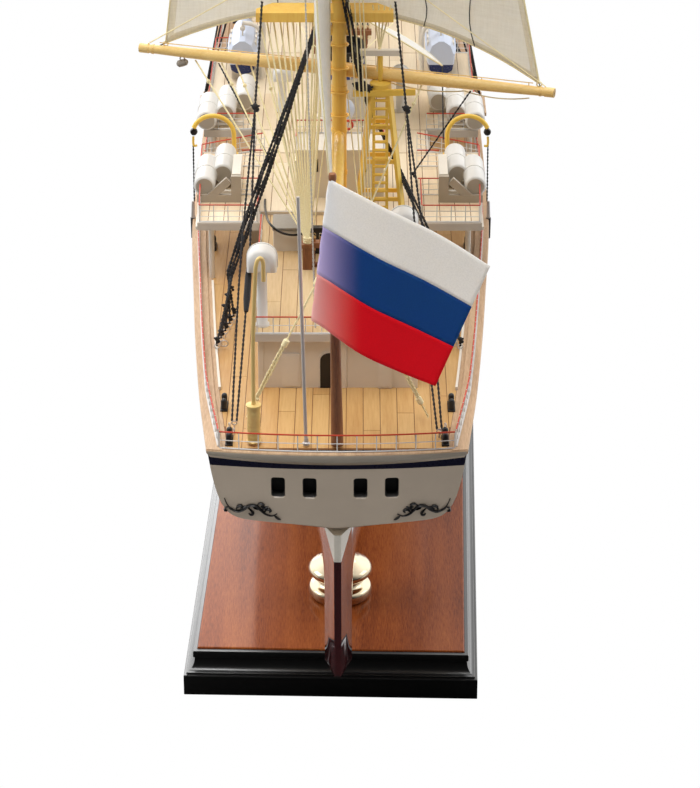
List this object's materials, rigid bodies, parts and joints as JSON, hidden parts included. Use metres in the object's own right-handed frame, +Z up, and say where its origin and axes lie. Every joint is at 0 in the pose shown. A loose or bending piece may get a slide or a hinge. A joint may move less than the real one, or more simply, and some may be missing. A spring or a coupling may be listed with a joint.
{
  "type": "wooden display model of a three-masted training ship",
  "caption": "Display model of a full-rigged training ship under sail on brass pedestals and a mahogany base; rudder and spanker turn.",
  "frame": {"origin": "on the floor, at the middle of the whole model in plan", "axes": "+Y towards the bow, +X to starboard, +Z up"},
  "size_m": [0.1491, 0.8179, 0.46],
  "materials": {
    "mahogany": "polished red-brown mahogany with fine pores",
    "black_lacquer": "black gloss lacquer",
    "brass": "polished brass",
    "maroon_paint": "dark maroon gloss paint on wood",
    "cream_paint": "cream white gloss paint on wood",
    "maple": "satin planks with brown caulking lines",
    "tan_wood": "satin tan-brown wood",
    "white_metal": "white paint on etched metal, red top rail",
    "white_paint": "white satin paint on wood",
    "yellow_wood": "golden yellow satin lacquer",
    "brown_wood": "brown stained wood, satin",
    "steel": "bright drawn wire",
    "flag_cloth": "smooth printed cloth, white, blue and red stripes",
    "white_plastic": "white cast resin",
    "sailcloth": "cream cotton with sewn seams"
  },
  "bodies": {
    "hull": {"base_board": "mahogany", "base_moulding": "black_lacquer", "pedestal_aft": "brass", "pedestal_forward": "brass", "hull_bottom": "maroon_paint", "hull_topsides": "cream_paint", "deck_planking": "maple", "cap_rail_port": "tan_wood", "cap_rail_starboard": "tan_wood", "cap_rail_stern": "tan_wood", "railing_port": "white_metal", "railing_starboard": "white_metal", "railing_stern": "white_metal", "deckhouse_aft": "white_paint", "deckhouse_mid": "white_paint", "deckhouse_fore": "white_paint", "deckhouse_roof": "maple", "boat_deck": "maple", "bridge_house": "white_paint", "funnel": "white_paint", "lattice_tower": "yellow_wood", "cowl_vent_port": "white_metal", "cowl_vent_starboard": "white_metal", "stern_davit": "brass", "whip_aerial": "steel", "ensign_staff": "brown_wood", "ensign": "flag_cloth", "life_rafts_port": "white_plastic", "life_rafts_starboard": "white_plastic", "raft_davit_port": "brass", "raft_davit_starboard": "brass", "lifeboat_port": "white_plastic", "lifeboat_starboard": "white_plastic", "bowsprit": "yellow_wood", "mast_fore": "yellow_wood", "mast_main": "yellow_wood", "mast_mizzen": "yellow_wood", "course_fore": "sailcloth", "course_main": "sailcloth", "topsail_lower_fore": "sailcloth", "topsail_lower_main": "sailcloth", "topsail_lower_mizzen": "sailcloth", "topsail_upper_fore": "sailcloth", "topsail_upper_main": "sailcloth", "topsail_upper_mizzen": "sailcloth", "topgallant_fore": "sailcloth", "topgallant_main": "sailcloth", "topgallant_mizzen": "sailcloth", "royal_fore": "sailcloth", "royal_main": "sailcloth", "royal_mizzen": "sailcloth", "jib_inner": "sailcloth", "jib_outer": "sailcloth", "staysail_main": "sailcloth", "staysail_mizzen": "sailcloth"},
    "rudder": {"rudder": "maroon_paint"},
    "spanker": {"spanker_boom": "yellow_wood", "spanker_gaff": "yellow_wood", "spanker_sail": "sailcloth"}
  },
  "joints": [
    {"name": "rudder_hinge", "type": "hinge", "parent": "hull", "child": "rudder", "pos_m": [-0.0012, -0.3604, 0.072], "axis": [0, 0, 1], "range_deg": [-35, 35]},
    {"name": "spanker_swing", "type": "hinge", "parent": "hull", "child": "spanker", "pos_m": [-0.0012, -0.2714, 0.19], "axis": [0, 0, 1], "range_deg": [-15, 15]}
  ]
}
